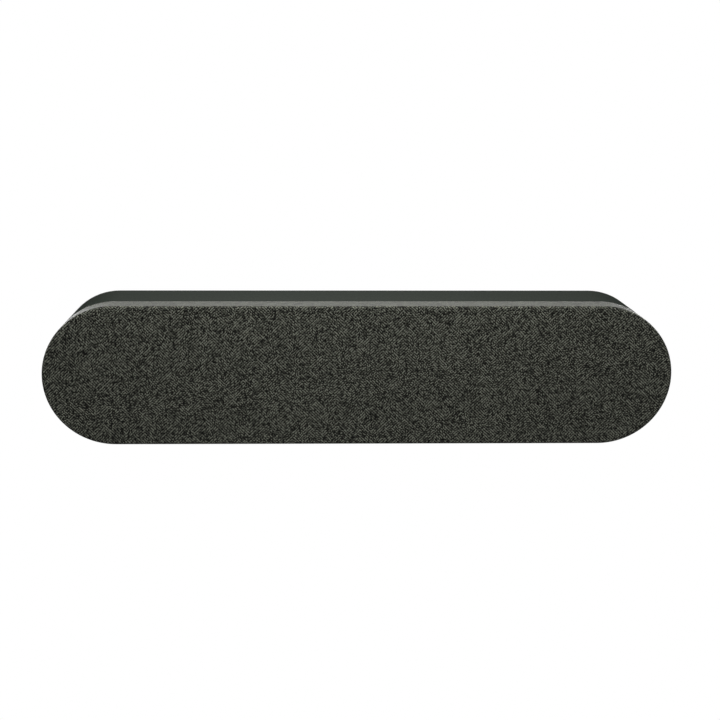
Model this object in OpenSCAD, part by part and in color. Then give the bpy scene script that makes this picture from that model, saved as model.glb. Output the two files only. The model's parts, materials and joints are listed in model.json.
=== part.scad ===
// Compact soundbar with a racetrack (stadium) front, a woven grille and a drafted rear housing.
// Frame: +X to the right as seen from the front, +Y to the rear, +Z up; the feet stand on Z = 0.
// "Depth" is the distance behind the flat of the grille, so Y = depth - mid_d.
// "Height" is measured from the bar's own centre line, which lies axis_z above the table.

/* [Body] */
// Overall width
body_w = 449; // [440:1:470]
// Overall height of the front
body_h = 103; // [102:0.5:106]
// Depth from the grille to the rear face
body_d = 80; // [79:1:84]
// Draft of all four sides towards the rear, in degrees
draft = 7.5; // [6.5:0.5:8]
// Radius of the grille's front edge
front_r = 2.2; // [2:0.1:3]
// Radius of the housing's rear edge
back_r = 4; // [3:0.5:5]
// Lowest line of the body above the table
foot_h = 1.2; // [1:0.1:2]

/* [Shells] */
// Housing side wall
wall = 3; // [2.6:0.1:3.2]
// Housing rear wall
rear_wall = 4; // [3.6:0.1:4.4]
// Grille cloth, with its foam backing
cloth_t = 1; // [0.8:0.1:1.2]
// Grille frame wall
frame_wall = 2; // [1.8:0.1:2.2]
// Depth of the wrapped grille
grille_d = 24; // [23:0.5:26]
// Shadow gap between the grille and the housing
seam_gap = 0.6; // [0.4:0.1:0.8]

/* [Drive units] */
// Radius of a driver's flange
driver_r = 38; // [37.5:0.1:38.2]
// Distance of each passive radiator from the middle
radiator_x = 92; // [91:0.5:94]
// Radius of a passive radiator's frame
radiator_r = 31; // [30:0.5:31.5]

/* [Rear] */
// Width of the connector recess
recess_w = 98; // [96:1:99]
// Height of the connector recess
recess_h = 44; // [42:1:45]
// Depth of the connector recess
recess_d = 16; // [14:1:17]
// Distance of each wall-mount insert from the middle
insert_x = 100; // [92:1:110]
// Bore radius of a wall-mount insert, for an M5 screw
insert_bore_r = 2.1; // [2:0.05:2.3]
// Distance between button centres
button_pitch = 22; // [20:1:23]
// How far the buttons stand out of the rear face
button_proud = 0.6; // [0.3:0.1:0.8]

/* [Hidden] */
$fn = 48;

// Colours
graphite = "#3c403c";
cloth_grey = "#45463f";
moulded_black = "#1b1c1c";
rubber_black = "#121212";
steel = "#9a9b9c";
zinc = "#b9babb";
ferrite = "#2b2b2d";
brass = "#b8934a";
board_green = "#1d4a2e";
nickel = "#c7c6c2";
copper = "#a8643a";

// Places along the depth
baffle_t = 4;
gasket_t = 0.8;
seal_t = 1;
baffle_d = 14;
lip_d = baffle_d + baffle_t + seal_t;
rear_in = body_d - rear_wall;
flange_t = 2;
flange_d = baffle_d - gasket_t - flange_t;
seam_d = grille_d + seam_gap;

// Middle of the overall depth; the racetrack's two end centres; and the height of its centre line
mid_d = (body_d + button_proud) / 2;
end_c = (body_w - body_h) / 2;
axis_z = foot_h + body_h / 2;
frame_slack = 0.4;
lip_inset = cloth_t + frame_wall + frame_slack;

// Outline of the drafted side at a depth, and the same line moved in by a wall of thickness t
function side_r(d) = body_h / 2 - front_r + front_r / cos(draft) - (d - front_r) * tan(draft);
function skin_r(d, t) = side_r(d) - t / cos(draft);
function underside_z(d) = axis_z - side_r(d);

// Points of an arc about c from angle a0 to a1
function arc(c, r, a0, a1, n = 10) =
    [for (i = [0:n]) let (a = a0 + (a1 - a0) * i / n) [c[0] + r * cos(a), c[1] + r * sin(a)]];

// ---------------------------------------------------------------- placing helpers

// A [radius, depth] profile run round the racetrack
module racetrack() {
    translate([0, -mid_d, axis_z]) {
        for (side = [-1, 1])
            translate([side * end_c, 0, 0])
                rotate([-90, 0, 0])
                    rotate_extrude(angle = 180, start = side > 0 ? -90 : 90) children();
        for (half = [0, 1])
            mirror([0, 0, half])
                translate([end_c, 0, 0])
                    rotate([0, -90, 0])
                        linear_extrude(2 * end_c) children();
    }
}

// A [radius, depth] profile turned about an axis that runs front to rear
module turned(x, z = 0) {
    translate([x, -mid_d, axis_z + z])
        rotate([-90, 0, 0])
            rotate_extrude() children();
}

// A round rod from one depth to another
module rod(x, z, r, d0, d1) {
    translate([x, d0 - mid_d, axis_z + z])
        rotate([-90, 0, 0])
            cylinder(r = r, h = d1 - d0);
}

// A block between two x, two depths and two heights
module block(x, d, z) {
    translate([x[0], d[0] - mid_d, axis_z + z[0]])
        cube([x[1] - x[0], d[1] - d[0], z[1] - z[0]]);
}

// A block with round corners of radius r, seen from the rear
module rounded_block(x, d, z, r) {
    block([x[0] + r, x[1] - r], d, z);
    block(x, d, [z[0] + r, z[1] - r]);
    for (cx = [x[0] + r, x[1] - r], cz = [z[0] + r, z[1] - r])
        rod(cx, cz, r, d[0], d[1]);
}

// A level plate w by l by h with round corners of radius r, centred on the origin and standing on it
module rounded_plate(w, l, h, r) {
    translate([0, 0, h / 2]) {
        cube([w - 2 * r, l, h], center = true);
        cube([w, l - 2 * r, h], center = true);
    }
    for (x = [-1, 1], y = [-1, 1])
        translate([x * (w / 2 - r), y * (l / 2 - r), 0])
            cylinder(r = r, h = h);
}

// A slab under the bar, w wide between two depths, with round corners of radius r;
// bottom and top are its heights above the table at the two depths
module slab(x, w, d, bottom, top, r) {
    translate([x, -mid_d, 0])
        intersection() {
            translate([-w / 2, 0, 0])
                rotate([90, 0, 90])
                    linear_extrude(w)
                        polygon([[d[0], bottom[0]], [d[1], bottom[1]], [d[1], top[1]], [d[0], top[0]]]);
            translate([0, (d[0] + d[1]) / 2, 0])
                rounded_plate(w, d[1] - d[0], body_h / 4, r);
        }
}

// A flat bar with full round ends, seen from the rear
module pill(x, z, w, h, d0, d1) {
    block([x - (w - h) / 2, x + (w - h) / 2], [d0, d1], [z - h / 2, z + h / 2]);
    for (side = [-1, 1])
        rod(x + side * (w - h) / 2, z, h / 2, d0, d1);
}

// A pan-head screw with a cross recess; its head sits on depth d and dir is the way its shank runs
module pan_screw(x, z, d, dir, shank_r, length, head_r, head_h) {
    cross_w = head_r * 0.28;
    translate([x, d - mid_d, axis_z + z])
        rotate([-90 * dir, 0, 0])
            difference() {
                union() {
                    cylinder(r = shank_r, h = length);
                    translate([0, 0, -head_h])
                        rotate_extrude()
                            polygon(concat([[0, 0]],
                                [for (a = [0:30:90]) [head_r * (0.72 + 0.28 * sin(a)),
                                    head_h * 0.55 * (1 - cos(a))]],
                                [[head_r, head_h], [0, head_h]]));
                }
                for (turn = [0, 90])
                    rotate([0, 0, turn])
                        translate([-head_r * 0.6, -cross_w / 2, -head_h - 0.1])
                            cube([head_r * 1.2, cross_w, head_h * 0.6 + 0.1]);
            }
}

// ---------------------------------------------------------------- grille

front_c = [body_h / 2 - front_r, front_r];

// Woven cloth over the frame's face and side, hemmed round the frame's rear edge
module grille_fabric() {
    hem = frame_wall;
    color(cloth_grey)
        racetrack()
            polygon(concat(
                [[0, 0]],
                arc(front_c, front_r, -90, draft),
                [[skin_r(grille_d, 0), grille_d],
                 [skin_r(grille_d, cloth_t + hem), grille_d],
                 [skin_r(grille_d - cloth_t, cloth_t + hem), grille_d - cloth_t],
                 [skin_r(grille_d - cloth_t, cloth_t), grille_d - cloth_t]],
                arc(front_c, front_r - cloth_t, draft, -90),
                [[0, cloth_t]]));
}

frame_t = 2.5;
slot_w = 4.5;
slot_pitch = 7;
peg_r = 2.2;
peg_spots = [for (x = [48, 128], side = [-1, 1], z = [-22, 22]) [side * x, z]];
pipe_z = 26;
pipe_r = 1.5;

// Slotted face that carries the cloth, with pegs that push into the baffle
module grille_frame() {
    face_d = cloth_t + frame_t;
    inner_t = cloth_t + frame_wall;
    bevel = 1.5;
    rib_h = 3;
    rim_r = skin_r(face_d, inner_t) - bevel - rib_h / 2;
    columns = floor((end_c + rim_r) / slot_pitch);
    color(moulded_black)
        difference() {
            union() {
                racetrack()
                    polygon(concat(
                        [[0, cloth_t]],
                        arc(front_c, front_r - cloth_t, -90, draft),
                        [[skin_r(grille_d - cloth_t, cloth_t), grille_d - cloth_t],
                         [skin_r(grille_d - cloth_t, inner_t), grille_d - cloth_t],
                         [skin_r(face_d + bevel, inner_t), face_d + bevel],
                         [skin_r(face_d, inner_t) - bevel, face_d], [0, face_d]]));
                for (p = peg_spots)
                    rod(p[0], p[1], peg_r + 1, face_d - 0.5, baffle_d - 2);
                for (p = peg_spots)
                    rod(p[0], p[1], peg_r, baffle_d - 3, baffle_d + 3);
            }
            for (i = [-columns:columns], rib = [-1, 0, 1]) {
                x = i * slot_pitch;
                over = max(abs(x) + slot_w / 2 - end_c, 0);
                reach = sqrt(max(rim_r * rim_r - over * over, 0));
                low = rib == -1 ? -reach : rib == 0 ? -rim_r / 3 + rib_h / 2 : rim_r / 3 + rib_h / 2;
                high = rib == 1 ? reach : rib == 0 ? rim_r / 3 - rib_h / 2 : -rim_r / 3 - rib_h / 2;
                clear = min([for (p = peg_spots) abs(p[0] - x) > slot_w + peg_r
                    || p[1] + peg_r < low || p[1] - peg_r > high ? 1 : 0]);
                if (high - low > slot_w && low >= -reach && high <= reach && clear == 1)
                    block([x - slot_w / 2, x + slot_w / 2], [0, face_d + 1], [low, high]);
            }
            rod(0, pipe_z, pipe_r + 0.4, 0, face_d + 1);
        }
}

// ---------------------------------------------------------------- baffle and seals

driver_hole_r = driver_r - 5;
radiator_hole_r = radiator_r - 4.5;
baffle_r = skin_r(lip_d, lip_inset);
boss_ring_r = 42;
boss_r = 3.4;
pilot_r = 1.25;
screw_clear_r = 1.6;
baffle_screw_spots = [for (side = [-1, 1]) each concat(
    [for (a = [-60, 0, 60]) [side * (end_c + boss_ring_r * cos(a)), boss_ring_r * sin(a)]],
    [for (x = [48, 128], z = [-1, 1]) [side * x, z * boss_ring_r]])];
driver_screw_r = driver_r - 2.5;
radiator_screw_r = radiator_r - 2.3;
speaker_screw_spots = [for (side = [-1, 1], a = [45:90:315]) each [
    [side * end_c + driver_screw_r * cos(a), driver_screw_r * sin(a)],
    [side * radiator_x + radiator_screw_r * cos(a), radiator_screw_r * sin(a)]]];
speaker_pilot_r = 1.05;
speaker_clear_r = 1.3;
board_pilot_r = 0.95;
board_clear_r = 1.3;
lamp_ribbon_x = [-1, 9];
lamp_ribbon_z = 23;
lamp_header_d = [33.4, 36];
key_ribbon_x = [-24, -18];
key_ribbon_z = 27;
key_header_d = [53, 55.6];

// Plate that carries the drive units and closes the front of the housing
module front_baffle() {
    color(moulded_black)
        difference() {
            racetrack()
                polygon([[0, baffle_d], [baffle_r, baffle_d], [baffle_r, baffle_d + baffle_t],
                    [0, baffle_d + baffle_t]]);
            for (side = [-1, 1]) {
                rod(side * end_c, 0, driver_hole_r, baffle_d - 1, baffle_d + baffle_t + 1);
                rod(side * radiator_x, 0, radiator_hole_r, baffle_d - 1, baffle_d + baffle_t + 1);
            }
            for (p = baffle_screw_spots)
                rod(p[0], p[1], screw_clear_r, baffle_d - 1, baffle_d + baffle_t + 1);
            for (p = speaker_screw_spots)
                rod(p[0], p[1], speaker_pilot_r, baffle_d - 1, baffle_d + baffle_t + 1);
            for (p = peg_spots)
                rod(p[0], p[1], peg_r + 0.05, baffle_d - 1, baffle_d + 3.2);
            block([lamp_ribbon_x[0] - 0.5, lamp_ribbon_x[1] + 0.5], [baffle_d - 1, baffle_d + baffle_t + 1],
                [lamp_ribbon_z - 1, lamp_ribbon_z + 1.5]);
        }
}

// Foam ring between the baffle and the housing's front lip
module baffle_gasket() {
    color(rubber_black)
        difference() {
            racetrack()
                polygon([[baffle_r - wall, lip_d - seal_t], [baffle_r, lip_d - seal_t],
                    [baffle_r, lip_d], [baffle_r - wall, lip_d]]);
            for (p = baffle_screw_spots)
                rod(p[0], p[1], boss_r, lip_d - seal_t - 1, lip_d + 1);
        }
}

// Foam rings under the four drive units' flanges
module speaker_gaskets() {
    color(rubber_black)
        for (side = [-1, 1], unit = [[end_c, driver_r, driver_hole_r, driver_screw_r],
                                     [radiator_x, radiator_r, radiator_hole_r, radiator_screw_r]])
            difference() {
                turned(side * unit[0])
                    polygon([[unit[2], baffle_d - gasket_t], [unit[1], baffle_d - gasket_t],
                        [unit[1], baffle_d], [unit[2], baffle_d]]);
                for (a = [45:90:315])
                    rod(side * unit[0] + unit[3] * cos(a), unit[3] * sin(a), speaker_clear_r,
                        baffle_d - gasket_t - 1, baffle_d + 1);
            }
}

// ---------------------------------------------------------------- housing

divider_x = [56, 59];
lead_r = 1.3;
lead_hole_d = 23;
lead_hole_z = -33;
recess_z = -7;
button_z = 29.5;
button_w = 14;
button_h = 7;
button_gap = 0.3;
button_spots = [for (i = [-1.5:1:1.5]) i * button_pitch];
tray_wall = 2;
fit_gap = 0.3;
panel_half = [recess_w / 2 + 10, recess_h / 2 + 5];
panel_t = 1.6;
panel_screw_spots = [for (side = [-1, 1], z = [-17, 17]) [side * (recess_w / 2 + 6), recess_z + z]];
insert_r = 3.2;
insert_l = 10;
button_board_d = 66;
board_t = 1.6;
foot_x = 125;
foot_w = 60;
foot_d = [31, 74];
label_w = 84;
label_d = [38, 66];
label_deep = 0.4;
boss_l = 18;
rear_boss_l = 8;
panel_boss_r = 3.2;
board_boss_r = 3;
insert_boss_wall = 3;
lead_play = 0.5;
button_board_screws = [for (side = [-1, 1]) [side * 46, button_z]];

module housing_solid() {
    back_c = [skin_r(body_d - back_r, back_r), body_d - back_r];
    racetrack()
        polygon(concat(
            [[0, lip_d], [skin_r(lip_d, lip_inset), lip_d], [skin_r(seam_d, lip_inset), seam_d],
             [skin_r(seam_d, 0), seam_d]],
            arc(back_c, back_r, draft, 90),
            [[0, body_d]]));
}

module housing_cavity() {
    lip_end = seam_d + wall;
    racetrack()
        polygon([[0, lip_d - 1], [skin_r(lip_d - 1, lip_inset + wall), lip_d - 1],
            [skin_r(lip_end, lip_inset + wall), lip_end], [skin_r(lip_end + 3, wall), lip_end + 3],
            [skin_r(rear_in - 2, wall), rear_in - 2], [skin_r(rear_in, wall) - 2, rear_in],
            [0, rear_in]]);
}

// Drafted tub behind the grille: outer shell, two chamber dividers, screw bosses, rear cut-outs
// and a shallow blank pocket for a label underneath
module rear_housing() {
    color(graphite)
        difference() {
            union() {
                difference() {
                    housing_solid();
                    housing_cavity();
                }
                intersection() {
                    housing_cavity();
                    union() {
                        for (side = [0, 1])
                            mirror([side, 0, 0])
                                block(divider_x, [lip_d, rear_in + 1], [-body_h / 2, body_h / 2]);
                        for (p = baffle_screw_spots)
                            rod(p[0], p[1], boss_r, lip_d, lip_d + boss_l);
                        for (p = panel_screw_spots)
                            rod(p[0], p[1], panel_boss_r, rear_in - rear_boss_l, rear_in + 1);
                        for (p = button_board_screws)
                            rod(p[0], p[1], board_boss_r, button_board_d + board_t, rear_in + 1);
                        for (side = [-1, 1])
                            rod(side * insert_x, 0, insert_r + insert_boss_wall, rear_in - rear_boss_l,
                                rear_in + 1);
                    }
                }
            }
            for (p = baffle_screw_spots)
                rod(p[0], p[1], pilot_r, lip_d - 1, lip_d + boss_l - wall);
            for (p = panel_screw_spots)
                rod(p[0], p[1], pilot_r, rear_in - rear_boss_l + 1, body_d);
            for (p = button_board_screws)
                rod(p[0], p[1], board_pilot_r, button_board_d, rear_in - 1);
            for (side = [-1, 1])
                rod(side * insert_x, 0, insert_r, body_d - insert_l, body_d + 1);
            for (x = button_spots)
                pill(x, button_z, button_w, button_h, rear_in - 1, body_d + 1);
            block([-recess_w / 2 - tray_wall - fit_gap, recess_w / 2 + tray_wall + fit_gap],
                [rear_in - 1, body_d + 1],
                [recess_z - recess_h / 2 - tray_wall - fit_gap,
                 recess_z + recess_h / 2 + tray_wall + fit_gap]);
            rounded_block([-panel_half[0] - fit_gap, panel_half[0] + fit_gap],
                [body_d - panel_t, body_d + 1],
                [recess_z - panel_half[1] - fit_gap, recess_z + panel_half[1] + fit_gap], 5 + fit_gap);
            for (side = [-1, 1])
                translate([side * divider_x[0] - 10, lead_hole_d - mid_d, axis_z + lead_hole_z])
                    rotate([0, 90, 0])
                        cylinder(r = lead_r + lead_play, h = 20);
            slab(0, label_w, label_d, [0, 0],
                [underside_z(label_d[0]) + label_deep, underside_z(label_d[1]) + label_deep], 3);
        }
}

// Two wedges of soft rubber that level the drafted underside, grooved across where they stand
module feet() {
    groove_w = 1.4;
    groove_h = 0.6;
    length = foot_d[1] - foot_d[0];
    color(rubber_black)
        for (side = [-1, 1])
            difference() {
                slab(side * foot_x, foot_w, foot_d, [0, 0],
                    [underside_z(foot_d[0]), underside_z(foot_d[1])], 8);
                for (share = [0.15, 0.3, 0.7, 0.85])
                    translate([side * foot_x - foot_w / 2 - 1,
                        foot_d[0] + share * length - groove_w / 2 - mid_d, -1])
                        cube([foot_w + 2, groove_w, groove_h + 1]);
            }
}

// Knurled brass inserts, flush with the rear face
module wall_mount_inserts() {
    color(brass)
        for (side = [-1, 1])
            difference() {
                rod(side * insert_x, 0, insert_r, body_d - insert_l, body_d);
                rod(side * insert_x, 0, insert_bore_r, body_d - insert_l - 1, body_d + 1);
            }
}

// ---------------------------------------------------------------- drive units

cone_r = 26.3;
neck_r = 10.6;
coil_r = [10, 10.3, 10.9];
spider_d = 26;
motor_d = 35;
plate_t = 4;
magnet_t = 10;
basket_t = 1.3;
tag_half = 7;
tag_d = 22.2;
tag_z = -28.3;

// Pressed-steel basket: flange, six-legged cone and motor seat
module driver_basket(side) {
    leg_gap = 12;
    web_d = flange_d + flange_t;
    color(steel)
        difference() {
            union() {
                turned(side * end_c)
                    polygon([[30.5, flange_d], [driver_r, flange_d], [driver_r, web_d],
                        [32.6, web_d], [24, spider_d + 1.5], [24, motor_d],
                        [12.5, motor_d], [12.5, motor_d - basket_t], [24 - basket_t, motor_d - basket_t],
                        [24 - basket_t, spider_d + 1.5], [21, spider_d + 1.5], [21, spider_d + 0.5],
                        [23.2, spider_d + 0.5], [31, web_d], [30.5, web_d]]);
                block([side * end_c - tag_half, side * end_c + tag_half],
                    [tag_d - 1, tag_d + 1], [-30.5, -26]);
            }
            for (a = [0:60:300])
                translate([side * end_c, 0, axis_z])
                    rotate([0, a, 0])
                        translate([18, web_d + 3 - mid_d, -leg_gap / 2])
                            cube([20, 9, leg_gap]);
            for (a = [45:90:315])
                rod(side * end_c + driver_screw_r * cos(a), driver_screw_r * sin(a), speaker_clear_r,
                    flange_d - 1, flange_d + flange_t + 1);
        }
}

// Half-roll rubber edge with a flat lip on each side
module roll_surround(x, inner_r, outer_r, lip) {
    roll_r = (outer_r - inner_r) / 2;
    mid = (outer_r + inner_r) / 2;
    skin = 0.5;
    color(rubber_black)
        turned(x)
            polygon(concat(
                [[inner_r - lip, flange_d], [inner_r - lip, flange_d - skin]],
                arc([mid, flange_d - skin], roll_r, 180, 360, 10),
                [[outer_r + lip, flange_d - skin], [outer_r + lip, flange_d]],
                arc([mid, flange_d], roll_r - skin, 360, 180, 10)));
}

module driver_surround(side) { roll_surround(side * end_c, 25.8, 31.4, 1.3); }

// Coated paper cone, from the surround's lip down to the coil former
module driver_cone(side) {
    lip_front = flange_d + 0.1;
    color(moulded_black)
        turned(side * end_c)
            polygon([[24.4, lip_front], [cone_r, lip_front], [cone_r, lip_front + 0.7],
                [24.9, lip_front + 0.7], [17.6, 17.6], [neck_r + 0.6, 24.4], [neck_r, 24.4],
                [neck_r, 23], [17.1, 16.9]]);
}

// Domed cap over the coil, standing on the cone
module driver_dust_cap(side) {
    cap_r = 13;
    rim_d = 20.2;
    rise = 3.4;
    dome_r = (cap_r * cap_r + rise * rise) / (2 * rise);
    top_a = asin(cap_r / dome_r);
    color(moulded_black)
        turned(side * end_c)
            polygon(concat(
                arc([0, rim_d - rise + dome_r], dome_r, -90, -90 + top_a),
                arc([0, rim_d - rise + dome_r], dome_r - 0.5, -90 + top_a, -90)));
}

// Paper former with its copper winding
module driver_voice_coil(side) {
    color(copper)
        turned(side * end_c)
            polygon([[coil_r[0], 22.8], [coil_r[1], 22.8], [coil_r[1], motor_d - 1.5],
                [coil_r[2], motor_d - 1.5], [coil_r[2], motor_d + 6.5], [coil_r[1], motor_d + 6.5],
                [coil_r[1], motor_d + 8], [coil_r[0], motor_d + 8]]);
}

// Corrugated centring spider between the former and the basket's shelf
module driver_spider(side) {
    waves = 4;
    steps = waves * 8;
    wave_h = 0.9;
    skin = 0.4;
    inner = coil_r[1] + 0.1;
    outer = 22.6;
    function wave(i) = let (s = i / steps) [inner + 0.6 + (20.6 - inner - 0.6) * s,
        spider_d - wave_h * sin(360 * waves * s)];
    color("#b08a4a")
        turned(side * end_c)
            polygon(concat(
                [[inner, spider_d]],
                [for (i = [0:steps]) wave(i)],
                [[outer, spider_d], [outer, spider_d + skin]],
                [for (i = [steps:-1:0]) wave(i) + [0, skin]], [[inner, spider_d + skin]]));
}

module driver_top_plate(side) {
    color(zinc)
        turned(side * end_c)
            polygon([[coil_r[2] + 0.5, motor_d], [27, motor_d], [27, motor_d + plate_t],
                [coil_r[2] + 0.5, motor_d + plate_t]]);
}

module driver_magnet(side) {
    front = motor_d + plate_t;
    color(ferrite)
        turned(side * end_c)
            polygon([[14, front], [29.2, front], [30, front + 0.8], [30, front + magnet_t - 0.8],
                [29.2, front + magnet_t], [14, front + magnet_t]]);
}

// Back plate and pole piece in one forging
module driver_yoke(side) {
    front = motor_d + plate_t + magnet_t;
    pole_r = coil_r[0] - 0.5;
    color(zinc)
        turned(side * end_c)
            polygon([[0, motor_d], [pole_r, motor_d], [pole_r, front], [27, front], [27, front + 4],
                [26, front + 5], [0, front + 5]]);
}

module radiator_frame(side) {
    color(moulded_black)
        difference() {
            turned(side * radiator_x)
                polygon([[23.8, flange_d], [radiator_r, flange_d], [radiator_r, flange_d + flange_t],
                    [radiator_hole_r - 0.2, flange_d + flange_t], [radiator_hole_r - 0.2, 17],
                    [25, 17], [25, flange_d + flange_t], [23.8, flange_d + flange_t]]);
            for (a = [45:90:315])
                rod(side * radiator_x + radiator_screw_r * cos(a), radiator_screw_r * sin(a), speaker_clear_r,
                    flange_d - 1, flange_d + flange_t + 1);
        }
}

module radiator_surround(side) { roll_surround(side * radiator_x, 18.6, 24.8, 1.2); }

// Stiff flat piston
module radiator_diaphragm(side) {
    front = flange_d + 0.1;
    color(moulded_black)
        turned(side * radiator_x)
            polygon([[0, front], [19, front], [19, front + 1.2], [17.5, front + 2.2], [0, front + 2.2]]);
}

// Steel disc that tunes the passive radiator
module radiator_weight(side) {
    front = flange_d + 0.1 + 2.2;
    color(zinc)
        turned(side * radiator_x)
            polygon([[0, front], [12, front], [12, front + 2.4], [11.4, front + 3], [0, front + 3]]);
}

// ---------------------------------------------------------------- rear panel and electronics

floor_d = body_d - recess_d;
floor_t = 2.5;
shelf_z = recess_z - recess_h / 2 - tray_wall;
shelf_t = 2;
board_z = shelf_z + shelf_t + 5;
board_top = board_z + board_t;
shelf_d = 24.5;
board_d = [25.5, floor_d - floor_t - 1.5];
main_x = [-48, 15];
power_x = [18, 48];
board_screw_spots = [for (x = [main_x[0] + 3, main_x[1] - 3, power_x[0] + 3, power_x[1] - 3],
    d = [board_d[0] + 3, board_d[1] - 14.5]) [x, d]];
header_top = board_top + 6;
lead_exit_d = 27;
lead_exit_x = [-4, -12];
inlet_x = 33;
hdmi_x = 7;
usb_x = -12;
aux_x = -30;
mouth_d = floor_d - 0.1;

// A countersunk screw's own shape in the panel, grown by a clearance
module sink(x, z, grow) {
    head_r = 2.6;
    head_h = 1.3;
    translate([x, body_d - mid_d, axis_z + z])
        rotate([90, 0, 0]) {
            translate([0, 0, -grow])
                cylinder(r1 = head_r + grow, r2 = pilot_r + grow, h = head_h + grow);
            cylinder(r = pilot_r + grow, h = panel_t + 8);
        }
}

// Recessed connector tray with its screw flange, and the shelf that carries both boards
module rear_panel() {
    outer = [recess_w / 2 + tray_wall, recess_h / 2 + tray_wall];
    color(moulded_black)
        difference() {
            union() {
                rounded_block([-panel_half[0], panel_half[0]], [body_d - panel_t, body_d],
                    [recess_z - panel_half[1], recess_z + panel_half[1]], 5);
                block([-outer[0], outer[0]], [floor_d - floor_t, body_d - panel_t],
                    [recess_z - outer[1], recess_z + outer[1]]);
                block([-outer[0] + 1, outer[0] - 1], [shelf_d, floor_d - floor_t],
                    [shelf_z, shelf_z + shelf_t]);
                for (p = board_screw_spots)
                    translate([p[0], p[1] - mid_d, axis_z + shelf_z + shelf_t])
                        cylinder(r = 2.4, h = board_z - shelf_z - shelf_t);
            }
            rounded_block([-recess_w / 2, recess_w / 2], [floor_d, body_d + 1],
                [recess_z - recess_h / 2, recess_z + recess_h / 2], 2);
            for (p = board_screw_spots)
                translate([p[0], p[1] - mid_d, axis_z + shelf_z + 0.8])
                    cylinder(r = board_pilot_r, h = 20);
            for (p = panel_screw_spots)
                sink(p[0], p[1], 0.05);
            block([inlet_x - 11.3, inlet_x + 11.3], [floor_d - floor_t - 1, floor_d + 1],
                [board_top - 0.3, board_top + 13.3]);
            block([hdmi_x - 7.8, hdmi_x + 7.8], [floor_d - floor_t - 1, floor_d + 1],
                [board_top - 0.3, board_top + 6.5]);
            block([usb_x - 4.9, usb_x + 4.9], [floor_d - floor_t - 1, floor_d + 1],
                [board_top - 0.3, board_top + 3.7]);
            rod(aux_x, board_top + 4, 4.3, floor_d - floor_t - 1, floor_d + 1);
            for (i = [-9:9])
                block([i * 4.6 - 0.9, i * 4.6 + 0.9], [floor_d - floor_t - 1, floor_d + 1],
                    [recess_z + 7, recess_z + recess_h / 2 - 4]);
        }
}

// A board with its four fixing holes, between two x
module circuit_board(x) {
    difference() {
        block(x, board_d, [board_z, board_top]);
        for (p = board_screw_spots)
            if (p[0] > x[0] && p[0] < x[1])
                translate([p[0], p[1] - mid_d, axis_z + board_z - 1])
                    cylinder(r = board_clear_r, h = board_t + 2);
    }
}

module main_board() { color(board_green) circuit_board(main_x); }
module power_board() { color(board_green) circuit_board(power_x); }

// Amplifier, processor, memory, chokes, the lead header and two ribbon headers
module main_board_chips() {
    color(ferrite) {
        block([-36, -22], [35, 45], [board_top, board_top + 1.4]);
        block([-14, -4], [39, 49], [board_top, board_top + 1.2]);
        block([2, 9], [39, 47], [board_top, board_top + 1.1]);
        block([-16, 0], [lead_exit_d, lead_exit_d + 4.6], [board_top, header_top]);
        for (i = [0:2])
            block([-15.5 + i * 4.2, -13 + i * 4.2], [33.4, 36.4], [board_top, board_top + 1.6]);
        block(lamp_ribbon_x, lamp_header_d, [board_top, header_top - 3]);
        block(key_ribbon_x, key_header_d, [board_top, header_top - 3]);
    }
}

// Finned sink on the amplifier
module heat_sink() {
    base = board_top + 1.4;
    color(zinc) {
        block([-40, -18], [34, 48], [base, base + 2.5]);
        for (i = [0:5])
            block([-40 + i * 4.16, -38.8 + i * 4.16], [34, 48], [base + 2.5, base + 13]);
    }
}

// Wound ferrite core on its bobbin
module power_transformer() {
    x = [22, 40];
    d = [31.5, 42.5];
    color("#7d6a34") {
        block([x[0] + 1, x[1] - 1], [d[0] + 1, d[1] - 1], [board_top, board_top + 3]);
        block([x[0] + 3, x[1] - 3], d, [board_top + 3, board_top + 15]);
        for (z = [3, 12])
            block(x, [d[0] + 2, d[1] - 2], [board_top + z, board_top + z + 4]);
    }
}

// Reservoir capacitors, two on each board, as [x, depth, radius, height]
module filter_capacitors() {
    spots = [[44, 33.9, 3, 14], [44, 40.2, 3, 14], [-44.2, 36, 3, 10], [12, 35.8, 2.6, 9]];
    color("#222a3c")
        for (c = spots)
            translate([c[0], c[1] - mid_d, axis_z + board_top])
                rotate_extrude()
                    polygon([[0, 0], [c[2], 0], [c[2], 0.8], [c[2] - 0.3, 1.2], [c[2], 1.6],
                        [c[2], c[3] - 0.5], [c[2] - 0.5, c[3]], [0, c[3]]]);
}

inlet_pin_x = 4.3;
inlet_z = board_top + 6.5;

// Two-pole appliance inlet, with a figure-eight hollow round its pins
module mains_inlet() {
    hollow_r = 4.1;
    color(moulded_black) {
        difference() {
            block([inlet_x - 11, inlet_x + 11], [floor_d - 16, mouth_d], [board_top, board_top + 13]);
            for (side = [-1, 1])
                rod(inlet_x + side * inlet_pin_x, inlet_z, hollow_r, mouth_d - 12.5, mouth_d + 1);
            block([inlet_x - inlet_pin_x, inlet_x + inlet_pin_x], [mouth_d - 12.5, mouth_d + 1],
                [inlet_z - 3.3, inlet_z + 3.3]);
        }
        for (side = [-1, 1])
            rod(inlet_x + side * inlet_pin_x, inlet_z, 1.2, mouth_d - 13, mouth_d - 1.5);
    }
}

// Shielded audio-return socket with its contact tongue
module hdmi_socket() {
    z = [board_top + 0.2, board_top + 6.2];
    color(nickel) {
        difference() {
            block([hdmi_x - 7.5, hdmi_x + 7.5], [mouth_d - 11.5, mouth_d], z);
            block([hdmi_x - 7, hdmi_x + 7], [mouth_d - 10, mouth_d + 1], [z[0] + 2.3, z[1] - 0.5]);
            block([hdmi_x - 5.4, hdmi_x + 5.4], [mouth_d - 10, mouth_d + 1], [z[0] + 0.5, z[1] - 0.5]);
        }
        block([hdmi_x - 5, hdmi_x + 5], [mouth_d - 10.5, mouth_d - 1.5], [z[0] + 2.4, z[0] + 3.4]);
    }
}

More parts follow.
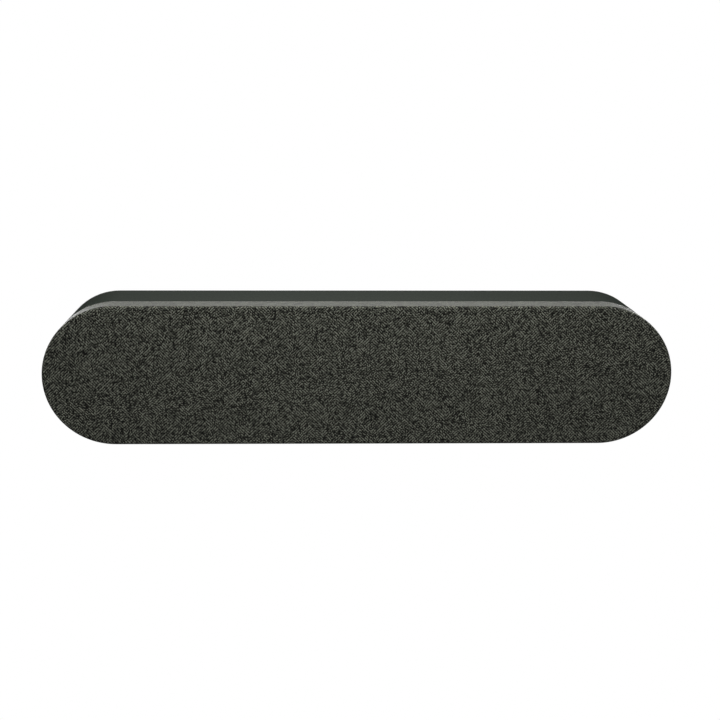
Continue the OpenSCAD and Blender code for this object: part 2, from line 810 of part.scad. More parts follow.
// Service socket: a shell with round ends and a thin tongue
module usb_socket() {
    z = board_top + 1.8;
    color(nickel) {
        difference() {
            pill(usb_x, z, 9.2, 3.4, mouth_d - 7.5, mouth_d);
            pill(usb_x, z, 8.4, 2.6, mouth_d - 6.2, mouth_d + 1);
        }
        block([usb_x - 3.3, usb_x + 3.3], [mouth_d - 6.5, mouth_d - 1], [z - 0.35, z + 0.35]);
    }
}

aux_bore_r = 1.8;
aux_z = board_top + 4;

// Stereo jack socket with a round collar
module aux_socket() {
    color(moulded_black)
        difference() {
            union() {
                block([aux_x - 4, aux_x + 4], [floor_d - floor_t - 13, floor_d - floor_t - 0.5],
                    [board_top, board_top + 8]);
                rod(aux_x, aux_z, 4, floor_d - floor_t - 1, mouth_d);
            }
            rod(aux_x, aux_z, aux_bore_r, mouth_d - 14, mouth_d + 1);
        }
}

// ---------------------------------------------------------------- buttons and indicator

button_travel = 0.8;
button_flange_d = rear_in - 0.05;
stem_r = 1.5;
stem_l = 3.9;
mark_w = 0.6;
mark_deep = 0.25;
mark_reach = 2;

// Sunk sign on a button: a plus, a minus, a dot, or a broken ring with a bar
module button_mark(sign, x) {
    face_d = body_d + button_proud;
    d = [face_d - mark_deep, face_d + 1];
    line = [-mark_w / 2, mark_w / 2];
    if (sign == "plus" || sign == "minus")
        block([x - mark_reach, x + mark_reach], d, line + [button_z, button_z]);
    if (sign == "plus")
        block(line + [x, x], d, [button_z - mark_reach, button_z + mark_reach]);
    if (sign == "dot")
        rod(x, button_z, 1.5 * mark_w, d[0], d[1]);
    if (sign == "ring") {
        difference() {
            rod(x, button_z, mark_reach, d[0], d[1]);
            rod(x, button_z, mark_reach - mark_w, d[0] - 1, d[1] + 1);
            block(2 * line + [x, x], [d[0] - 1, d[1] + 1], [button_z, button_z + mark_reach + 1]);
        }
        block(line + [x, x], d, [button_z + mark_w, button_z + mark_reach + mark_w]);
    }
}

// Pill-shaped cap, a little proud, with a retaining flange inside and a stem to its switch
module button_cap(place, sign) {
    x = button_spots[place];
    w = button_w - 2 * button_gap;
    h = button_h - 2 * button_gap;
    step = 0.8;
    flange = 2.6;
    color(graphite) {
        difference() {
            union() {
                pill(x, button_z, w, h, button_flange_d - 0.5, body_d + button_proud / 3);
                pill(x, button_z, w - step, h - step, body_d + 0.1, body_d + button_proud);
            }
            button_mark(sign, x);
        }
        pill(x, button_z, w + flange, h + flange, button_flange_d - 1.2, button_flange_d);
        rod(x, button_z, stem_r, button_flange_d - stem_l, button_flange_d - 1);
    }
}

module power_button() { button_cap(3, "ring"); }
module source_button() { button_cap(2, "dot"); }
module volume_down_button() { button_cap(1, "minus"); }
module volume_up_button() { button_cap(0, "plus"); }

module button_board() {
    color(board_green)
        difference() {
            block([-50, 50], [button_board_d, button_board_d + board_t],
                [button_z - 5.5, button_z + 5.5]);
            for (p = button_board_screws)
                rod(p[0], p[1], board_clear_r, button_board_d - 1, button_board_d + board_t + 1);
        }
}

// Tactile switches, each a square body with a round plunger
module button_switches() {
    back = button_board_d + board_t;
    color(ferrite)
        for (x = button_spots) {
            block([x - 3, x + 3], [back, back + 2.8], [button_z - 3, button_z + 3]);
            rod(x, button_z, stem_r + 0.1, back + 2.7, button_flange_d - stem_l - button_travel - 0.15);
        }
}

led_d = baffle_d - board_t - 0.8;

// Strip with the status lamp and the remote receiver, stuck to the baffle
module indicator_board() {
    color(board_green) {
        block([-22, 22], [baffle_d - board_t, baffle_d], [pipe_z - 6, pipe_z + 6]);
        block([-1.6, 1.6], [led_d, baffle_d - board_t], [pipe_z - 1.4, pipe_z + 1.4]);
        block([10, 16], [baffle_d - board_t - 3, baffle_d - board_t], [pipe_z - 3.5, pipe_z + 3.5]);
        rod(13, pipe_z, 2.2, baffle_d - board_t - 4.6, baffle_d - board_t - 2.5);
    }
}

// Clear rod from the lamp to the back of the cloth, on a two-legged foot
module light_pipe() {
    color("#d8dee0") {
        rod(0, pipe_z, pipe_r, cloth_t + 0.2, led_d - 0.1);
        rod(0, pipe_z, pipe_r + 2.2, led_d - 1.6, led_d - 0.1);
        for (side = [-1, 1])
            block([side * 2.8 - 0.7, side * 2.8 + 0.7], [led_d - 1, baffle_d - board_t],
                [pipe_z - 1.5, pipe_z + 1.5]);
    }
}

// ---------------------------------------------------------------- fasteners, leads and foam

module baffle_screws() {
    color(zinc)
        for (p = baffle_screw_spots)
            pan_screw(p[0], p[1], baffle_d, 1, pilot_r, baffle_t + seal_t + 10, 2.7, 2);
}

module speaker_screws() {
    color(zinc)
        for (p = speaker_screw_spots)
            pan_screw(p[0], p[1], flange_d, 1, speaker_pilot_r, flange_t + gasket_t + 3.6, 2.1, 1.5);
}

module panel_screws() {
    slot = 0.8;
    color(ferrite)
        for (p = panel_screw_spots)
            difference() {
                sink(p[0], p[1], 0);
                for (half = [[1.7, slot / 2], [slot / 2, 1.7]])
                    block([p[0] - half[0], p[0] + half[0]], [body_d - 0.9, body_d + 1],
                        [p[1] - half[1], p[1] + half[1]]);
            }
}

// A screw that stands upright on a board
module board_screw(x, d) {
    translate([x, d - mid_d, axis_z + board_top])
        rotate([-90, 0, 0])
            translate([0, mid_d, -axis_z])
                pan_screw(0, 0, 0, 1, board_pilot_r, board_t + 4.5, 2, 1.4);
}

module board_screws() {
    color(zinc) {
        for (p = board_screw_spots)
            board_screw(p[0], p[1]);
        for (p = button_board_screws)
            pan_screw(p[0], p[1], button_board_d, 1, board_pilot_r, board_t + 5, 2, 1.4);
    }
}

// Route of a lead as [x, depth, height]: out of its header, past the boards, through the divider
// and along the chamber to the driver's tags
lead_start = [[0, 27, -19.4], [0, 25.6, -19.4], [0.8, 24.2, -19.6], [2.4, 23.2, -20.1], [4.8, 22.9, -20.9]];
lead_run = [[24, 22.9, -27], [31, 22.9, -30], [38, 22.9, -32], [46, 23, -33], [58, 23, -33], [72, 23, -33],
    [88, 23, -34], [104, 23, -35], [120, 23, -35], [132, 22.9, -34.2], [142, 22.6, -32.2],
    [150, 22.3, -29.8], [157, 22.2, -28.4], [161, 22.2, -28.3], [166, 22.2, -28.3]];

function unit(v) = v / norm(v);
function heading(route, i) =
    unit(route[min(i + 1, len(route) - 1)] - route[max(i - 1, 0)]);

// Round lead swept along a route, with eight sides
module lead(route) {
    sides = 8;
    rings = len(route);
    points = [for (i = [0:rings - 1]) let (
            along = heading(route, i),
            across = unit(cross(along, [0, 0, 1])),
            other = cross(along, across))
        for (k = [0:sides - 1]) let (a = 360 * k / sides)
            route[i] + lead_r * (cos(a) * across + sin(a) * other)];
    polyhedron(points, concat(
        [[for (k = [0:sides - 1]) k]],
        [[for (k = [sides - 1:-1:0]) (rings - 1) * sides + k]],
        [for (i = [0:rings - 2], k = [0:sides - 1]) each let (
                a = i * sides + k,
                b = i * sides + (k + 1) % sides)
            [[a, a + sides, b + sides], [a, b + sides, b]]]));
}

// Twin leads from the amplifier header to each driver's tags
module speaker_leads() {
    color("#7a2f2b")
        for (side = [0, 1])
            translate([0, -mid_d, axis_z])
                mirror([side, 0, 0])
                    lead(concat(
                        [for (p = lead_start) p + [(1 - 2 * side) * lead_exit_x[side], 0, 0]],
                        lead_run));
}

// A flat strip x wide that follows a path of [depth, height] points, thickness t
module strip(x, path, t) {
    last = len(path) - 1;
    function normal(i) =
        let (v = path[min(i + 1, last)] - path[max(i - 1, 0)]) [-v[1], v[0]] / norm(v) * t / 2;
    translate([x[0], -mid_d, axis_z])
        rotate([90, 0, 90])
            linear_extrude(x[1] - x[0])
                polygon(concat([for (i = [0:last]) path[i] + normal(i)],
                    [for (i = [last:-1:0]) path[i] - normal(i)]));
}

// Ribbons from the main board to the lamp and the buttons, and the jumper from the power board
module ribbon_cables() {
    ribbon_t = 0.3;
    bend = 4;
    lamp_d = (lamp_header_d[0] + lamp_header_d[1]) / 2;
    key_d = (key_header_d[0] + key_header_d[1]) / 2;
    low = header_top - 3;
    arch = [[main_x[1] - 1.5, board_top + 4], [power_x[0] + 1.5, board_top + 4]];
    color("#c9c4b4") {
        strip(lamp_ribbon_x, concat([[lamp_d, low]],
            arc([lamp_d - bend, lamp_ribbon_z - bend], bend, 0, 90, 6),
            [[baffle_d, lamp_ribbon_z]]), ribbon_t);
        strip(key_ribbon_x, concat([[key_d, low]],
            arc([key_d + bend, key_ribbon_z - bend], bend, 180, 90, 6),
            [[button_board_d, key_ribbon_z]]), ribbon_t);
        block([arch[0][0] - 0.3, arch[1][0] + 0.3], [38.5, 42], [board_top + 4, board_top + 4.6]);
        for (end = arch)
            block([end[0] - 0.3, end[0] + 0.3], [38.5, 42], [board_top, end[1] + 0.1]);
    }
}

// Open-cell foam on the rear wall of each chamber
module damping_pads() {
    color("#33363a")
        for (side = [-1, 1])
            block([side * 152 - 34, side * 152 + 34], [rear_in - 9, rear_in], [-26, 26]);
}

// ---------------------------------------------------------------- assembly

grille_fabric();
grille_frame();
front_baffle();
baffle_gasket();
speaker_gaskets();
rear_housing();
rear_panel();
feet();
wall_mount_inserts();
for (unit = [["left", -1], ["right", 1]]) {
    driver_basket(unit[1]);
    driver_surround(unit[1]);
    driver_cone(unit[1]);
    driver_dust_cap(unit[1]);
    driver_voice_coil(unit[1]);
    driver_spider(unit[1]);
    driver_top_plate(unit[1]);
    driver_magnet(unit[1]);
    driver_yoke(unit[1]);
    radiator_frame(unit[1]);
    radiator_surround(unit[1]);
    radiator_diaphragm(unit[1]);
    radiator_weight(unit[1]);
}
main_board();
main_board_chips();
heat_sink();
power_board();
power_transformer();
filter_capacitors();
mains_inlet();
hdmi_socket();
usb_socket();
aux_socket();
power_button();
source_button();
volume_down_button();
volume_up_button();
button_board();
button_switches();
indicator_board();
light_pipe();
baffle_screws();
speaker_screws();
panel_screws();
board_screws();
speaker_leads();
ribbon_cables();
damping_pads();
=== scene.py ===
"""Soundbar: the grille cloth, the flexing driver parts, every material, the lights and the camera."""
import json
import math

import bpy
import numpy as np
from mathutils import Matrix, Vector


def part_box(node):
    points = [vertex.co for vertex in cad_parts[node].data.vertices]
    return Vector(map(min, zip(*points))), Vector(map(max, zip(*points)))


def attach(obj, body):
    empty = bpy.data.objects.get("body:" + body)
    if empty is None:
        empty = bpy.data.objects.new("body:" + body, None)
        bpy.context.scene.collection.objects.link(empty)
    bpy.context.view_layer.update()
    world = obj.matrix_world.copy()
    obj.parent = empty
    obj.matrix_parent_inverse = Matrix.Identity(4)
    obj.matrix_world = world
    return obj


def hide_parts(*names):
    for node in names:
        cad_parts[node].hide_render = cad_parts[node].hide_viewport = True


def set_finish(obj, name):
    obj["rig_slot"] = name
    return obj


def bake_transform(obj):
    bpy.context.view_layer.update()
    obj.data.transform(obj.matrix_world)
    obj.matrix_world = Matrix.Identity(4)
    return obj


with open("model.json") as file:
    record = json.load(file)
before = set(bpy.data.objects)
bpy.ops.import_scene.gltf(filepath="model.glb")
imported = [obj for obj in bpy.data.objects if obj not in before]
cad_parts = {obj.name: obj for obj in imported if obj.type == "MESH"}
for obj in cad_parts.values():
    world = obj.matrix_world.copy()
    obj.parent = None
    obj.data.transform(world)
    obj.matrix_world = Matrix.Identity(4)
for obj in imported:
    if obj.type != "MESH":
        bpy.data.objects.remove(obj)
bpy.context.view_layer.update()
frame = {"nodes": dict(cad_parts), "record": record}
SLOTS = {part["node"]: part["material_slot"] for part in frame["record"]["subparts"]}
MM = 0.001

# ---------------------------------------------------------------- sizes read from the frame

cloth_low, cloth_high = (Vector(corner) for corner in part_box("grille_fabric"))
FRONT_Y = cloth_low.y
BODY_W = cloth_high.x - cloth_low.x
BODY_H = cloth_high.z - cloth_low.z
AXIS_Z = (cloth_high.z + cloth_low.z) / 2
END_X = (BODY_W - BODY_H) / 2
WRAP_DEPTH = cloth_high.y - cloth_low.y

# The cloth: the taper of its side, the radius round its front edge and at its rear fold, its thickness,
# and the hem that is turned under
DRAFT = math.radians(7.5)
FRONT_R = 1.6 * MM
FOLD_R = 0.45 * MM
CLOTH_T = 0.9 * MM
HEM = 2.6 * MM

# The rubber rolls: their thickness, and the width of them that stays still on the basket or frame
RUBBER_T = 0.5 * MM
SEAT_W = 2.3 * MM

# Each roll: its kind, the body that moves it, and the width of its glued lips
ROLLS = (("driver", "driver_moving_parts", 1.3 * MM),
         ("radiator", "radiator_piston", 1.2 * MM))

# The spiders: their thickness, inner radius, inner and outer flat rim, and number of waves
CLOTH_DISC_T = 0.4 * MM
SPIDER_INNER_R = 10.4 * MM
SPIDER_INNER_RIM = 0.6 * MM
SPIDER_OUTER_RIM = 2.0 * MM
SPIDER_WAVES = 4

# The weave: the yarn's pitch, the pitch of the diagonal lines of painted glints, how much the painted
# shade between them dims the yarn and the painted glints brighten it, the number of patches of line
# direction in a metre, and the darkest and lightest yarn
THREAD_PITCH = 0.74 * MM
GLINT_LINE_PITCH = 2.2 * MM
GLINT_SHADE_DIM, GLINT_BRIGHTEN = 0.25, 1.75
GLINT_PATCHES_PER_METRE = 90
YARN_DARK = (0.003, 0.003, 0.003, 1)
YARN_LIGHT = (0.254, 0.265, 0.215, 1)

# The floor's half side, and each soft box: name, place, width and height in metres, and watts
FLOOR_HALF = 12.0
LIGHTS = (("overhead", (0, -0.05, 0.65), (0.45, 0.5), 3.1),
          ("front", (0, -0.62, 0.55), (0.4, 0.3), 3.2),
          ("back", (0, 0.75, 0.95), (0.4, 0.4), 8.0),
          ("under", (0, 0.3, -0.6), (1.0, 0.5), 0.9))


# ---------------------------------------------------------------- camera

def make_camera():
    """The camera stands a little left of the middle, above the bar, and looks down and slightly right."""
    place = Vector((-65.05 * MM, FRONT_Y - 1493.2 * MM, AXIS_Z + 482.9 * MM))
    yaw, pitch, roll = 0.0442, 0.3052, 0.0124
    lens_per_sensor = 3.0645
    forward = Vector((math.sin(yaw) * math.cos(pitch), math.cos(yaw) * math.cos(pitch), -math.sin(pitch)))
    right = Vector((math.cos(yaw), -math.sin(yaw), 0))
    up = right.cross(forward)
    turned_right = right * math.cos(roll) + up * math.sin(roll)
    turned_up = up * math.cos(roll) - right * math.sin(roll)
    data = bpy.data.cameras.new("camera")
    data.sensor_width = 36
    data.lens = lens_per_sensor * data.sensor_width
    data.clip_start = 0.01
    data.clip_end = 50
    camera = bpy.data.objects.new("camera", data)
    bpy.context.scene.collection.objects.link(camera)
    axes = Matrix((turned_right, turned_up, -forward)).transposed()
    camera.matrix_world = Matrix.Translation(place) @ axes.to_4x4()
    bpy.context.scene.camera = camera


# ---------------------------------------------------------------- mesh helpers

def new_piece(name, points, faces, uvs=None, smooth=True):
    """A mesh object from points and faces, with an optional UV for each point."""
    mesh = bpy.data.meshes.new(name)
    mesh.from_pydata([tuple(p) for p in points], [], [tuple(f) for f in faces])
    if uvs is not None:
        layer = mesh.uv_layers.new(name="cloth")
        loops = np.zeros(len(mesh.loops), int)
        mesh.loops.foreach_get("vertex_index", loops)
        layer.data.foreach_set("uv", np.asarray(uvs, np.float32)[loops].ravel())
    mesh.polygons.foreach_set("use_smooth", [smooth] * len(mesh.polygons))
    mesh.update()
    piece = bpy.data.objects.new(name, mesh)
    bpy.context.scene.collection.objects.link(piece)
    return piece


def racetrack(arc_steps, straight_steps):
    """Once round a stadium: each row is (centre x, outward x, outward z)."""
    rows = []
    for side in (1, -1):
        for i in range(arc_steps):
            a = math.pi * i / arc_steps - math.pi / 2
            rows.append((side * END_X, side * math.cos(a), side * math.sin(a)))
        for i in range(straight_steps):
            x = side * (END_X - 2 * END_X * i / straight_steps)
            rows.append((x, 0.0, float(side)))
    return np.array(rows)


def sweep_racetrack(profile, track):
    """Points of a (radius, depth) profile run round the track, and the quads between them."""
    profile = np.asarray(profile)
    r, d = profile[:, 0][:, None], profile[:, 1][:, None]
    x = track[:, 0] + r * track[:, 1]
    z = AXIS_Z + r * track[:, 2]
    y = FRONT_Y + d + 0 * x
    points = np.stack([x, y, z], axis=-1).reshape(-1, 3)
    count = len(track)
    faces = []
    for i in range(len(profile) - 1):
        a = i * count + np.arange(count)
        b = i * count + (np.arange(count) + 1) % count
        faces.append(np.stack([a, b, b + count, a + count], axis=-1))
    return points, np.concatenate(faces)


# ---------------------------------------------------------------- grille cloth

def cloth_profile():
    """The cloth's outer line from the middle of the face to its hem, as (radius, depth, normal angle)."""
    face_r = BODY_H / 2 - FRONT_R
    rows = [(face_r * i / 32, 0.0, -math.pi / 2) for i in range(32)]
    for i in range(15):
        a = -math.pi / 2 + (math.pi / 2 + DRAFT) * i / 14
        rows.append((face_r + FRONT_R * math.cos(a), FRONT_R + FRONT_R * math.sin(a), a))
    r0, d0, _ = rows[-1]
    run = WRAP_DEPTH - FOLD_R - d0
    for i in range(1, 13):
        d = d0 + run * i / 12
        rows.append((r0 - (d - d0) * math.tan(DRAFT), d, DRAFT))
    r1, d1, _ = rows[-1]
    for i in range(1, 7):
        a = DRAFT + (math.pi / 2 - DRAFT) * i / 6
        rows.append((r1 - FOLD_R * math.cos(DRAFT) + FOLD_R * math.cos(a),
                     d1 - FOLD_R * math.sin(DRAFT) + FOLD_R * math.sin(a), a))
    r2, d2, _ = rows[-1]
    for i in range(1, 4):
        rows.append((r2 - HEM * i / 3, d2, math.pi / 2))
    return rows


def make_cloth():
    """One sheet of woven cloth, stretched over the face and side and turned under at the rear edge."""
    rows = cloth_profile()
    outer = [(r, d) for r, d, _ in rows]
    inner = [(max(r - CLOTH_T * math.cos(a), 0), d - CLOTH_T * math.sin(a)) for r, d, a in rows]
    track = racetrack(72, 220)
    profile = outer + inner[::-1]
    points, faces = sweep_racetrack(profile, track)
    along = [0.0]
    for (r0, d0), (r1, d1) in zip(outer, outer[1:]):
        along.append(along[-1] + math.hypot(r1 - r0, d1 - d0))
    along = np.array(along + along[::-1])[:, None]
    u = track[:, 0] + along * track[:, 1]
    v = along * track[:, 2]
    uvs = np.stack([u, v], axis=-1).reshape(-1, 2)
    piece = new_piece("grille_cloth", points, faces, uvs)
    weld(piece)
    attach(piece, "cabinet")
    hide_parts("grille_fabric")
    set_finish(piece, "grille_cloth")
    return piece


def weld(piece):
    """Joins points that coincide, such as along the middle line of the face."""
    import bmesh
    mesh = bmesh.new()
    mesh.from_mesh(piece.data)
    bmesh.ops.remove_doubles(mesh, verts=mesh.verts, dist=1e-6)
    bmesh.ops.recalc_face_normals(mesh, faces=mesh.faces)
    mesh.to_mesh(piece.data)
    mesh.free()


# ---------------------------------------------------------------- flexing rings of the drive units

def make_ring(name, node, profile):
    """A ring turned about the axis of a CAD node, which replaces that node.

    The profile is its closed outline, as (radius, depth) from the front of the node."""
    low, high = (Vector(corner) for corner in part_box(node))
    middle = (low + high) / 2
    steps = 128
    turn = 2 * math.pi * np.arange(steps) / steps
    outline = np.asarray(profile)
    r, d = outline[:, 0][:, None], outline[:, 1][:, None]
    points = np.stack([middle.x + r * np.cos(turn), low.y + d + 0 * turn,
                       middle.z + r * np.sin(turn)], axis=-1).reshape(-1, 3)
    faces = []
    for i in range(len(outline)):
        a = i * steps + np.arange(steps)
        b = i * steps + (np.arange(steps) + 1) % steps
        step = steps if i < len(outline) - 1 else -i * steps
        faces.append(np.stack([a, b, b + step, a + step], axis=-1))
    piece = new_piece(name, points, np.concatenate(faces))
    weld(piece)
    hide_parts(node)
    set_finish(piece, SLOTS[node])
    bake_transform(piece)
    return piece


def roll_outline(outer_r, depth, lip):
    """Half-roll with a flat lip on each side.

    Returns its closed outline, the inner edge of its seat, and the roll's inner foot."""
    roll_r = depth - RUBBER_T
    middle = outer_r - lip - roll_r
    arc = [math.pi * i / 24 for i in range(25)]
    front = [(middle - roll_r * math.cos(a), roll_r - roll_r * math.sin(a)) for a in arc]
    thin = roll_r - RUBBER_T
    back = [(middle + thin * math.cos(a), depth - thin * math.sin(a)) for a in arc]
    first, last = middle - roll_r - lip, outer_r
    outline = [(first, depth), (first, roll_r)] + front + [(last, roll_r), (last, depth)] + back
    return outline, outer_r - SEAT_W, middle - roll_r


def spider_outline(inner_r, outer_r, depth):
    """Corrugated disc. Returns its closed outline, and the radii where the waves stop and start."""
    height = (depth - CLOTH_DISC_T) / 2
    first, last = inner_r + SPIDER_INNER_RIM, outer_r - SPIDER_OUTER_RIM
    steps = 96
    wave = [(first + (last - first) * i / steps,
             height - height * math.sin(2 * math.pi * SPIDER_WAVES * i / steps)) for i in range(steps + 1)]
    front = [(inner_r, height)] + wave + [(outer_r, height)]
    back = [(r, d + CLOTH_DISC_T) for r, d in reversed(front)]
    return front + back, last, first


def make_flexing_rings():
    """The surround of each driver and radiator, and the spider of each driver."""
    rings = []
    for side in ("left", "right"):
        for kind, body, lip in ROLLS:
            node = f"{side}_{kind}_surround"
            low, high = (Vector(corner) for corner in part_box(node))
            outline, hold, free = roll_outline((high.x - low.x) / 2, high.y - low.y, lip)
            rings.append(make_ring(f"{side}_{kind}_roll", node, outline))
        node = f"{side}_driver_spider"
        low, high = (Vector(corner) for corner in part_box(node))
        outline, hold, free = spider_outline(SPIDER_INNER_R, (high.x - low.x) / 2, high.y - low.y)
        body = f"{side}_driver_moving_parts"
        rings.append(make_ring(f"{side}_corrugated_disc", node, outline))
    return rings


# ---------------------------------------------------------------- materials

def new_material(name):
    """An empty material with one Principled shader wired to its output."""
    material = bpy.data.materials.new(name)
    material.use_nodes = True
    tree = material.node_tree
    tree.nodes.clear()
    out = tree.nodes.new("ShaderNodeOutputMaterial")
    shader = tree.nodes.new("ShaderNodeBsdfPrincipled")
    tree.links.new(shader.outputs["BSDF"], out.inputs["Surface"])
    return material, tree, shader


class Graph:
    """Short calls for building a node tree."""

    def __init__(self, tree):
        self.tree = tree

    def node(self, kind, **settings):
        made = self.tree.nodes.new(kind)
        for key, value in settings.items():
            setattr(made, key, value)
        return made

    def put(self, socket, value):
        if hasattr(value, "is_output"):
            self.tree.links.new(value, socket)
        else:
            socket.default_value = value

    def math(self, operation, *values):
        made = self.node("ShaderNodeMath", operation=operation)
        for socket, value in zip(made.inputs, values):
            self.put(socket, value)
        return made.outputs[0]

    def noise(self, vector, scale, detail=2.0, rough=0.5):
        made = self.node("ShaderNodeTexNoise")
        self.put(made.inputs["Vector"], vector)
        made.inputs["Scale"].default_value = scale
        made.inputs["Detail"].default_value = detail
        made.inputs["Roughness"].default_value = rough
        return made.outputs["Fac"]

    def random(self, *values):
        made = self.node("ShaderNodeTexWhiteNoise", noise_dimensions="3D")
        joined = self.node("ShaderNodeCombineXYZ")
        for socket, value in zip(joined.inputs, values):
            self.put(socket, value)
        self.put(made.inputs["Vector"], joined.outputs[0])
        return made.outputs["Value"]

    def wave(self, value, pitch):
        return self.math("SINE", self.math("MULTIPLY", value, 2 * math.pi / pitch))

    def spread(self, value, low, high, to_low, to_high):
        made = self.node("ShaderNodeMapRange")
        for socket, item in zip(made.inputs, (value, low, high, to_low, to_high)):
            self.put(socket, item)
        return made.outputs[0]

    def mix(self, factor, first, second):
        made = self.node("ShaderNodeMix", data_type="RGBA")
        self.put(made.inputs[0], factor)
        self.put(made.inputs[6], first)
        self.put(made.inputs[7], second)
        return made.outputs[2]

    def bump(self, height, strength, distance):
        made = self.node("ShaderNodeBump")
        made.inputs["Strength"].default_value = strength
        made.inputs["Distance"].default_value = distance
        self.put(made.inputs["Height"], height)
        return made.outputs[0]

    def coordinates(self, output="Object"):
        return self.node("ShaderNodeTexCoord").outputs[output]


def cloth_material():
    """Heathered weave: light and dark flecks of yarn, under diagonal lines of painted glints and painted
    shade that turn from patch to patch.
    """
    material, tree, shader = new_material("grille_cloth")
    g = Graph(tree)
    place = g.coordinates("UV")
    split = g.node("ShaderNodeSeparateXYZ")
    g.put(split.inputs[0], place)
    across, along = split.outputs[0], split.outputs[1]
    u = g.math("DIVIDE", across, THREAD_PITCH)
    v = g.math("DIVIDE", along, THREAD_PITCH)
    fleck = g.math("POWER", g.random(g.math("FLOOR", u), g.math("FLOOR", v), 1.0), 2.0)
    # Diagonal waves of painted glint and painted shade, laid over the yarn's own flecks
    rising_glints = g.wave(g.math("ADD", across, along), GLINT_LINE_PITCH)
    falling_glints = g.wave(g.math("SUBTRACT", across, along), GLINT_LINE_PITCH)
    turn = g.spread(g.noise(place, GLINT_PATCHES_PER_METRE, 1), 0.42, 0.58, 0.0, 1.0)
    lines = g.math("ADD", g.math("MULTIPLY", rising_glints, turn),
                   g.math("MULTIPLY", falling_glints, g.math("SUBTRACT", 1.0, turn)))
    # The yarn's own fleck colour, brightened by painted glints and dimmed by painted shade along the
    # diagonal waves
    tone = g.math("MULTIPLY", fleck, g.spread(lines, -0.5, 0.5, GLINT_SHADE_DIM, GLINT_BRIGHTEN))
    g.put(shader.inputs["Base Color"], g.mix(tone, YARN_DARK, YARN_LIGHT))
    shader.inputs["Roughness"].default_value = 0.9
    shader.inputs["Specular IOR Level"].default_value = 0.1
    shader.inputs["Sheen Weight"].default_value = 0.81
    shader.inputs["Sheen Roughness"].default_value = 0.3
    shader.inputs["Sheen Tint"].default_value = (1, 1, 1, 1)
    round_u = g.math("ABSOLUTE", g.math("SINE", g.math("MULTIPLY", u, math.pi)))
    round_v = g.math("ABSOLUTE", g.math("SINE", g.math("MULTIPLY", v, math.pi)))
    g.put(shader.inputs["Normal"], g.bump(g.math("MULTIPLY", round_u, round_v), 0.2, 0.25 * MM))
    return material


def moulded(name, colour, rough=0.45, grain=900.0, depth=0.03, spread=0.06, coat=0.0, specular=0.5):
    """Moulded plastic or rubber: a fine spark-eroded grain, with slow changes of tone and gloss."""
    material, tree, shader = new_material(name)
    g = Graph(tree)
    place = g.coordinates()
    slow = g.noise(place, 14, 3)
    fine = g.noise(place, grain, 2)
    dark = tuple(c * (1 - spread) for c in colour) + (1,)
    light = tuple(c * (1 + spread) for c in colour) + (1,)
    g.put(shader.inputs["Base Color"], g.mix(slow, dark, light))
    g.put(shader.inputs["Roughness"], g.spread(fine, 0.3, 0.7, rough - 0.05, rough + 0.06))
    g.put(shader.inputs["Normal"], g.bump(fine, 0.35, depth * MM))
    shader.inputs["Coat Weight"].default_value = coat
    shader.inputs["Specular IOR Level"].default_value = specular
    return material


def metal(name, colour, rough=0.3, streak=(1.0, 1.0, 1.0)):
    """Turned, pressed or plated metal with fine tool marks."""
    material, tree, shader = new_material(name)
    g = Graph(tree)
    stretch = g.node("ShaderNodeMapping")
    g.put(stretch.inputs["Vector"], g.coordinates())
    stretch.inputs["Scale"].default_value = streak
    marks = g.noise(stretch.outputs[0], 700, 3, 0.6)
    slow = g.noise(g.coordinates(), 60, 2)
    dark = tuple(c * 0.88 for c in colour) + (1,)
    g.put(shader.inputs["Base Color"], g.mix(slow, dark, colour + (1,)))
    shader.inputs["Metallic"].default_value = 1.0
    g.put(shader.inputs["Roughness"], g.spread(marks, 0.3, 0.7, rough - 0.08, rough + 0.12))
    g.put(shader.inputs["Normal"], g.bump(marks, 0.2, 0.02 * MM))
    return material


def clear(name):
    """Clear plastic with a slight haze."""
    material, tree, shader = new_material(name)
    g = Graph(tree)
    shader.inputs["Base Color"].default_value = (0.9, 0.93, 0.94, 1)
    shader.inputs["Transmission Weight"].default_value = 0.9
    g.put(shader.inputs["Roughness"], g.spread(g.noise(g.coordinates(), 400, 2), 0, 1, 0.06, 0.18))
    return material


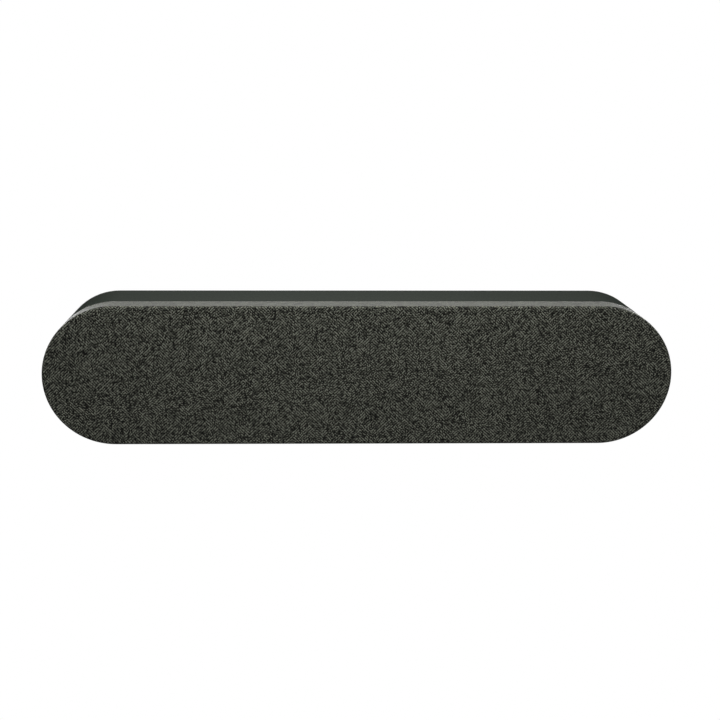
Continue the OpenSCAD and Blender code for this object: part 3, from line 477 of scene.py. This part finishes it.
def make_materials():
    """One material for each slot. After a moulded colour come roughness, grain, depth, spread and coat."""
    return {
        "grille_cloth": cloth_material(),
        "housing": moulded("housing", (0.0175, 0.0225, 0.017), 0.42, specular=0.1),
        "button_cap": moulded("button_cap", (0.030, 0.036, 0.030), 0.36, specular=0.3),
        "panel": moulded("panel", (0.016, 0.016, 0.016), 0.55, 700.0, 0.05),
        "black_moulding": moulded("black_moulding", (0.012, 0.012, 0.012), 0.5),
        "foam": moulded("foam", (0.022, 0.022, 0.023), 0.95, 500.0, 0.4, 0.3),
        "foot_rubber": moulded("foot_rubber", (0.014, 0.014, 0.014), 0.7, 1200.0, 0.05),
        "surround_rubber": moulded("surround_rubber", (0.010, 0.010, 0.010), 0.4),
        "cone": moulded("cone", (0.018, 0.018, 0.018), 0.6, 800.0, 0.08, 0.2),
        "ferrite": moulded("ferrite", (0.03, 0.03, 0.032), 0.6, 500.0, 0.06, 0.2),
        "spider_cloth": moulded("spider_cloth", (0.42, 0.26, 0.10), 0.85, 1500.0, 0.1, 0.2),
        "circuit_board": moulded("circuit_board", (0.010, 0.085, 0.030), 0.35, 600.0, 0.02, 0.2, 0.3),
        "component": moulded("component", (0.014, 0.014, 0.015), 0.5),
        "transformer": moulded("transformer", (0.40, 0.26, 0.05), 0.4, 600.0, 0.05, 0.15),
        "capacitor": moulded("capacitor", (0.014, 0.020, 0.045), 0.25),
        "lead_sheath": moulded("lead_sheath", (0.30, 0.025, 0.02), 0.45),
        "ribbon": moulded("ribbon", (0.55, 0.53, 0.47), 0.3),
        "insert_brass": metal("insert_brass", (0.72, 0.50, 0.20), 0.28),
        "pressed_steel": metal("pressed_steel", (0.52, 0.53, 0.54), 0.38),
        "pole_steel": metal("pole_steel", (0.60, 0.60, 0.61), 0.3),
        "coil": metal("coil", (0.72, 0.33, 0.16), 0.35, (1, 20, 1)),
        "heat_sink": metal("heat_sink", (0.62, 0.62, 0.64), 0.35, (1, 1, 8)),
        "socket_shell": metal("socket_shell", (0.66, 0.64, 0.60), 0.22),
        "zinc_screw": metal("zinc_screw", (0.62, 0.62, 0.60), 0.3),
        "black_screw": metal("black_screw", (0.05, 0.05, 0.05), 0.45),
        "clear_plastic": clear("clear_plastic"),
    }


def finish_nodes(materials):
    """Every CAD node takes the material of its own slot in the record."""
    for name, node in frame["nodes"].items():
        node.data.materials.clear()
        node.data.materials.append(materials[SLOTS[name]])


# ---------------------------------------------------------------- floor and lights

def make_stage():
    """A plain white floor that only a camera above it sees, so it hides nothing from below."""
    half = FLOOR_HALF
    corners = [(-half, -half, 0), (half, -half, 0), (half, half, 0), (-half, half, 0)]
    floor = new_piece("floor", corners, [(0, 1, 2, 3)], smooth=False)
    material, tree, shader = new_material("floor")
    g = Graph(tree)
    seen = g.node("ShaderNodeLightPath").outputs["Is Camera Ray"]
    under = g.node("ShaderNodeNewGeometry").outputs["Backfacing"]
    g.put(shader.inputs["Alpha"], g.math("MULTIPLY", seen, g.math("SUBTRACT", 1.0, under)))
    shader.inputs["Base Color"].default_value = (0, 0, 0, 1)
    shader.inputs["Emission Color"].default_value = (1, 1, 1, 1)
    shader.inputs["Emission Strength"].default_value = 1.0
    shader.inputs["Specular IOR Level"].default_value = 0.0
    floor.data.materials.append(material)


def place_light(name, place, size, watts):
    """A soft box that faces the middle of the bar."""
    data = bpy.data.lights.new(name, "AREA")
    data.shape = "RECTANGLE"
    data.size, data.size_y = size
    data.energy = watts
    light = bpy.data.objects.new(name, data)
    bpy.context.scene.collection.objects.link(light)
    light.location = place
    facing = Vector((0, 0, AXIS_Z)) - light.location
    light.rotation_euler = facing.to_track_quat("-Z", "Y").to_euler()


def make_lights():
    """Soft boxes close above and in front, others behind and below, and a dim room that looks white."""
    for name, place, size, watts in LIGHTS:
        place_light(name, place, size, watts)
    world = bpy.data.worlds.new("studio")
    bpy.context.scene.world = world
    world.use_nodes = True
    g = Graph(world.node_tree)
    seen = g.node("ShaderNodeLightPath").outputs["Is Camera Ray"]
    sky = world.node_tree.nodes["Background"]
    sky.inputs["Color"].default_value = (1, 1, 1, 1)
    g.put(sky.inputs["Strength"], g.spread(seen, 0.0, 1.0, 0.05, 1.0))


make_camera()
MATERIALS = make_materials()
finish_nodes(MATERIALS)
for piece in [make_cloth()] + make_flexing_rings():
    piece.data.materials.append(MATERIALS[piece["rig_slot"]])
make_stage()
make_lights()
bpy.context.scene.view_settings.view_transform = "Standard"
